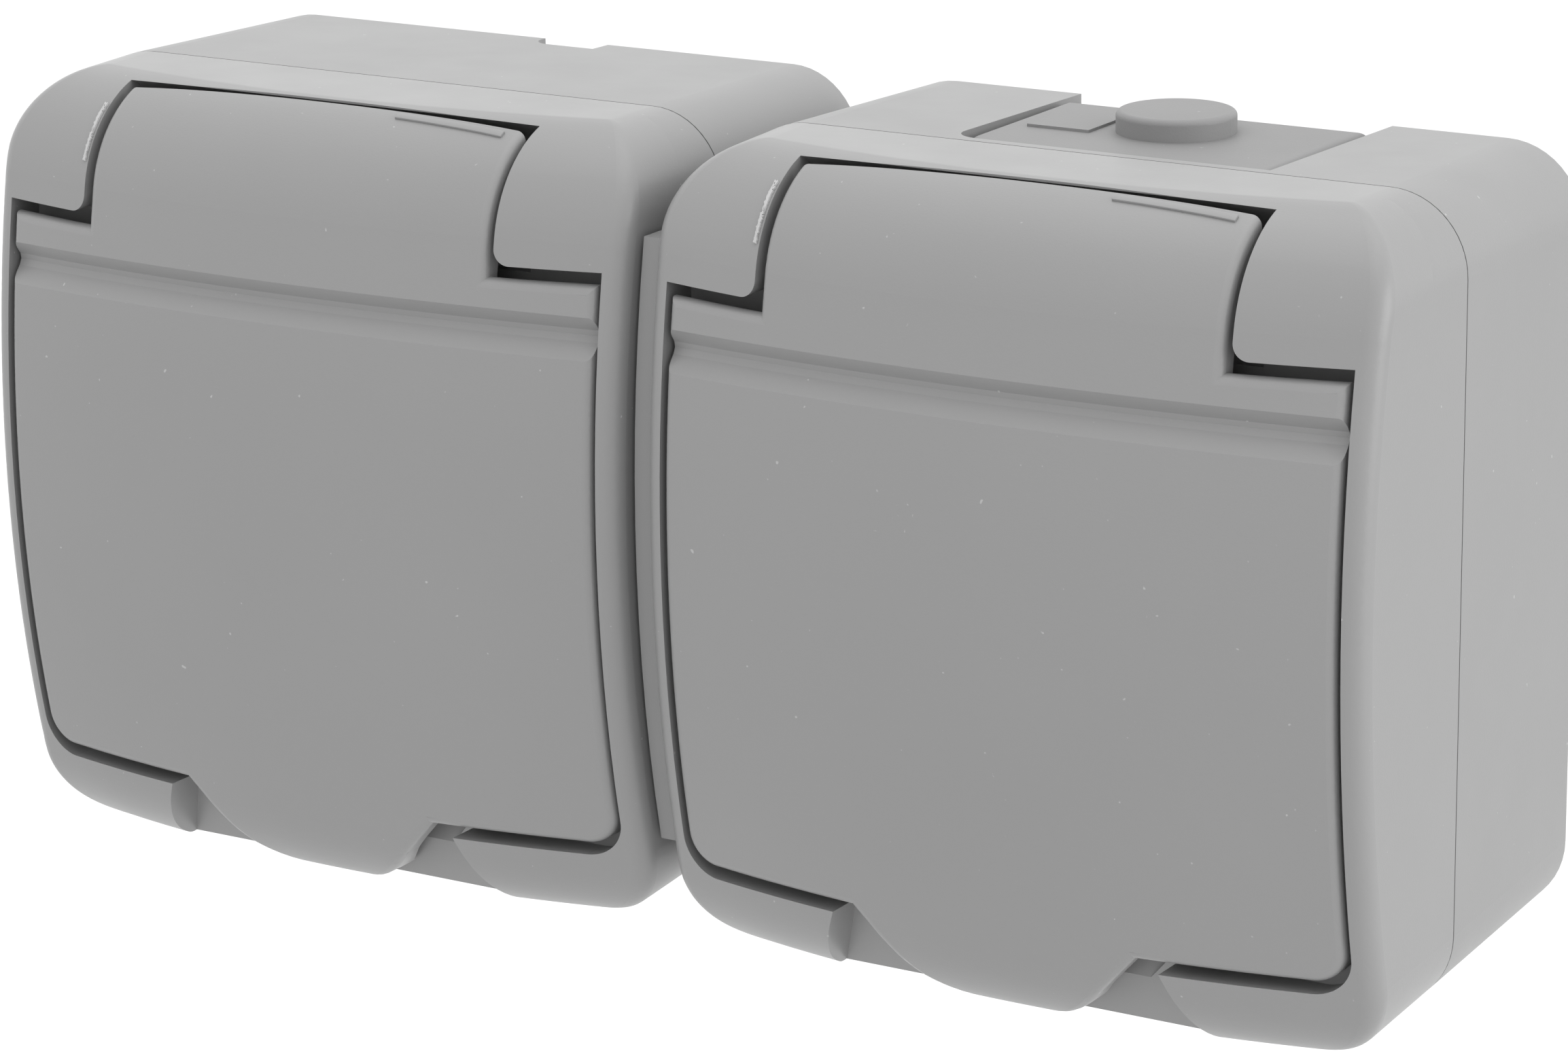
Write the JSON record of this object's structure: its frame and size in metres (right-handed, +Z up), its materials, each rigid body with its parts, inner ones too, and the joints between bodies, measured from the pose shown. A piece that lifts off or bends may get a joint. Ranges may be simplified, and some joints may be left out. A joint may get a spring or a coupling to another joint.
{
  "type": "outdoor weatherproof socket",
  "caption": "Surface-mounted weatherproof socket: modules side by side in a grey housing, each with a sprung hinged lid over an earthed plug well.",
  "frame": {"origin": "on the wall plane, midway between the modules and level with the middle of the wall-screw pattern", "axes": "X to the viewer's right along the pair, -Y out of the wall towards the user, +Z up"},
  "size_m": [0.1402, 0.046, 0.0734],
  "materials": {
    "housing": "moulded grey thermoplastic, satin",
    "cover": "moulded grey thermoplastic, satin",
    "lid": "moulded grey thermoplastic, fine satin texture",
    "grommet": "soft grey elastomer",
    "gasket": "soft black sealing rubber",
    "well": "grey thermoplastic, slightly glossy",
    "block": "off-white insulating moulding",
    "brass": "bare brass, stamped",
    "clip": "nickel-plated spring strip",
    "steel": "zinc-plated steel"
  },
  "bodies": {
    "housing": {"back_box": "housing", "cable_grommet": "grommet", "front_cover_left": "cover", "front_cover_right": "cover", "cover_gasket_left": "gasket", "cover_gasket_right": "gasket", "hinge_pin_left": "steel", "hinge_pin_right": "steel", "lid_spring_left": "steel", "lid_spring_right": "steel", "socket_well_left": "well", "socket_well_right": "well", "contact_block_left": "block", "contact_block_right": "block", "contacts_left": "brass", "contacts_right": "brass", "earth_clip_left": "clip", "earth_clip_right": "clip", "cover_screws": "steel", "block_screws": "steel", "well_screws": "steel", "terminal_screws": "steel"},
    "left_lid": {"lid_left": "lid", "lid_seal_left": "gasket"},
    "right_lid": {"lid_right": "lid", "lid_seal_right": "gasket"}
  },
  "joints": [
    {"name": "lid_left_hinge", "type": "hinge", "parent": "housing", "child": "left_lid", "pos_m": [-0.0355, -0.0383, 0.026], "axis": [-1, 0, 0], "range_deg": [0, 90], "stiffness_Nm_per_rad": 0.02, "springref_deg": -28.65, "deforming": ["lid_spring_left"]},
    {"name": "lid_right_hinge", "type": "hinge", "parent": "housing", "child": "right_lid", "pos_m": [0.0355, -0.0383, 0.026], "axis": [-1, 0, 0], "range_deg": [0, 90], "stiffness_Nm_per_rad": 0.02, "springref_deg": -28.65, "deforming": ["lid_spring_right"]}
  ]
}
